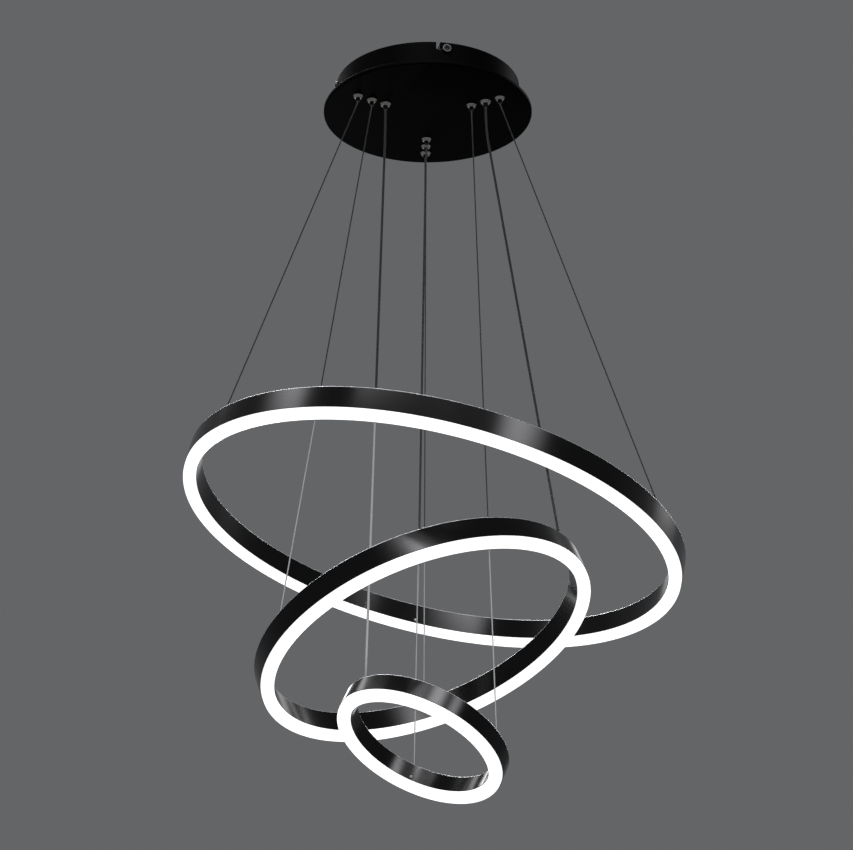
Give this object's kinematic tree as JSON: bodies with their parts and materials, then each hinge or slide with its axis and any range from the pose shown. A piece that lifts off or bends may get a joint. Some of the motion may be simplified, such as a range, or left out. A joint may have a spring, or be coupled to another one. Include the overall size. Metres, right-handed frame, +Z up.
{
  "type": "ring chandelier",
  "caption": "Ceiling light: tilted rings of lit channel, each hung by thin wires and a power cable from a round canopy on a bayonet bracket.",
  "frame": {"origin": "centre of the ceiling face, on the canopy's axis", "axes": "+Z up into the ceiling, +Y away from the viewer of the picture, +X to that viewer's right"},
  "size_m": [0.5902, 0.5966, 0.8954],
  "materials": {
    "bracket_steel": "satin",
    "zinc_steel": "satin",
    "black_steel": "satin",
    "black_screw": "satin",
    "black_aluminium": "satin",
    "nickel": "polished",
    "dark_nickel": "satin",
    "wire_steel": "satin",
    "cable_jacket": "matte",
    "opal_diffuser": "matte",
    "led_board": "matte",
    "driver_case": "matte",
    "terminal_plastic": "matte",
    "dark_nylon": "matte"
  },
  "bodies": {
    "bracket": {"ceiling_bracket": "bracket_steel", "lock_screws": "black_screw"},
    "canopy": {"canopy_skirt": "black_steel", "canopy_plate": "black_aluminium", "skirt_nuts": "zinc_steel", "large_ring_driver": "driver_case", "middle_ring_driver": "driver_case", "small_ring_driver": "driver_case", "driver_screws": "zinc_steel", "terminal_block": "terminal_plastic", "wire_grips": "nickel", "cord_grips": "nickel", "cord_grip_sleeves": "dark_nylon", "grip_nuts": "nickel", "large_right_wire": "wire_steel", "large_left_wire": "wire_steel", "large_power_cable": "cable_jacket", "middle_left_wire": "wire_steel", "middle_far_wire": "wire_steel", "middle_power_cable": "cable_jacket", "small_right_wire": "wire_steel", "small_far_wire": "wire_steel", "small_power_cable": "cable_jacket"},
    "large_right_wire_end": {"large_right_wire_ball": "nickel"},
    "large_left_wire_end": {"large_left_wire_ball": "nickel"},
    "large_ring": {"large_channel": "black_aluminium", "large_diffuser": "opal_diffuser", "large_led_strip": "led_board", "large_wire_anchors": "nickel", "large_cable_gland": "dark_nylon", "large_splice_plate": "zinc_steel", "large_splice_screws": "nickel", "large_wall_screws": "nickel"},
    "middle_left_wire_end": {"middle_left_wire_ball": "nickel"},
    "middle_far_wire_end": {"middle_far_wire_ball": "nickel"},
    "middle_ring": {"middle_channel": "black_aluminium", "middle_diffuser": "opal_diffuser", "middle_led_strip": "led_board", "middle_wire_anchors": "nickel", "middle_cable_gland": "dark_nylon", "middle_splice_plate": "zinc_steel", "middle_splice_screws": "nickel", "middle_wall_screws": "nickel"},
    "small_right_wire_end": {"small_right_wire_ball": "nickel"},
    "small_far_wire_end": {"small_far_wire_ball": "nickel"},
    "small_ring": {"small_channel": "black_aluminium", "small_diffuser": "opal_diffuser", "small_led_strip": "led_board", "small_wire_anchors": "nickel", "small_cable_gland": "dark_nylon", "small_splice_plate": "zinc_steel", "small_splice_screws": "nickel", "small_wall_screws": "nickel"},
    "large_right_release": {"large_right_plunger": "dark_nickel"},
    "large_left_release": {"large_left_plunger": "dark_nickel"},
    "middle_left_release": {"middle_left_plunger": "dark_nickel"},
    "middle_far_release": {"middle_far_plunger": "dark_nickel"},
    "small_right_release": {"small_right_plunger": "dark_nickel"},
    "small_far_release": {"small_far_plunger": "dark_nickel"}
  },
  "joints": [
    {"name": "canopy_twist", "type": "hinge", "parent": "bracket", "child": "canopy", "pos_m": [0, 0, 0], "axis": [0, 0, 1], "range_deg": [0, 5.2]},
    {"name": "large_ring_lift", "type": "slide", "parent": "canopy", "child": "large_right_wire_end", "axis": [0, 0, 1], "range_m": [0, 0.2], "deforming": ["large_right_wire", "large_left_wire", "large_power_cable"]},
    {"name": "large_left_wire_length", "type": "hinge", "parent": "large_right_wire_end", "child": "large_left_wire_end", "pos_m": [0.25846, -0.12628, -0.6035], "axis": [-0.5197, 0.8542, -0.0148], "range_deg": [-16, 10]},
    {"name": "large_cable_length", "type": "hinge", "parent": "large_left_wire_end", "child": "large_ring", "pos_m": [0.25846, -0.12628, -0.6035], "axis": [-0.9733, -0.0029, 0.2295], "range_deg": [-12, 12]},
    {"name": "middle_ring_lift", "type": "slide", "parent": "canopy", "child": "middle_left_wire_end", "axis": [0, 0, 1], "range_m": [0, 0.18], "deforming": ["middle_left_wire", "middle_far_wire", "middle_power_cable"]},
    {"name": "middle_far_wire_length", "type": "hinge", "parent": "middle_left_wire_end", "child": "middle_far_wire_end", "pos_m": [-0.16777, -0.09805, -0.7196], "axis": [0.9477, 0.0666, 0.3122], "range_deg": [-12, 14]},
    {"name": "middle_cable_length", "type": "hinge", "parent": "middle_far_wire_end", "child": "middle_ring", "pos_m": [-0.16777, -0.09805, -0.7196], "axis": [0.5058, 0.8548, -0.1162], "range_deg": [-10, 22]},
    {"name": "small_ring_lift", "type": "slide", "parent": "canopy", "child": "small_right_wire_end", "axis": [0, 0, 1], "range_m": [0, 0.15], "deforming": ["small_right_wire", "small_far_wire", "small_power_cable"]},
    {"name": "small_far_wire_length", "type": "hinge", "parent": "small_right_wire_end", "child": "small_far_wire_end", "pos_m": [0.0742, -0.0606, -0.8414], "axis": [-0.9122, 0.0326, 0.4084], "range_deg": [-14, 14]},
    {"name": "small_cable_length", "type": "hinge", "parent": "small_far_wire_end", "child": "small_ring", "pos_m": [0.0742, -0.0606, -0.8414], "axis": [-0.5543, 0.8284, -0.0802], "range_deg": [-29, 10]},
    {"name": "large_right_release_press", "type": "slide", "parent": "canopy", "child": "large_right_release", "axis": [0, 0, 1], "range_m": [0, 0.002], "stiffness_N_per_m": 800, "springref_m": -0.002},
    {"name": "large_left_release_press", "type": "slide", "parent": "canopy", "child": "large_left_release", "axis": [0, 0, 1], "range_m": [0, 0.002], "stiffness_N_per_m": 800, "springref_m": -0.002},
    {"name": "middle_left_release_press", "type": "slide", "parent": "canopy", "child": "middle_left_release", "axis": [0, 0, 1], "range_m": [0, 0.002], "stiffness_N_per_m": 800, "springref_m": -0.002},
    {"name": "middle_far_release_press", "type": "slide", "parent": "canopy", "child": "middle_far_release", "axis": [0, 0, 1], "range_m": [0, 0.002], "stiffness_N_per_m": 800, "springref_m": -0.002},
    {"name": "small_right_release_press", "type": "slide", "parent": "canopy", "child": "small_right_release", "axis": [0, 0, 1], "range_m": [0, 0.002], "stiffness_N_per_m": 800, "springref_m": -0.002},
    {"name": "small_far_release_press", "type": "slide", "parent": "canopy", "child": "small_far_release", "axis": [0, 0, 1], "range_m": [0, 0.002], "stiffness_N_per_m": 800, "springref_m": -0.002}
  ]
}
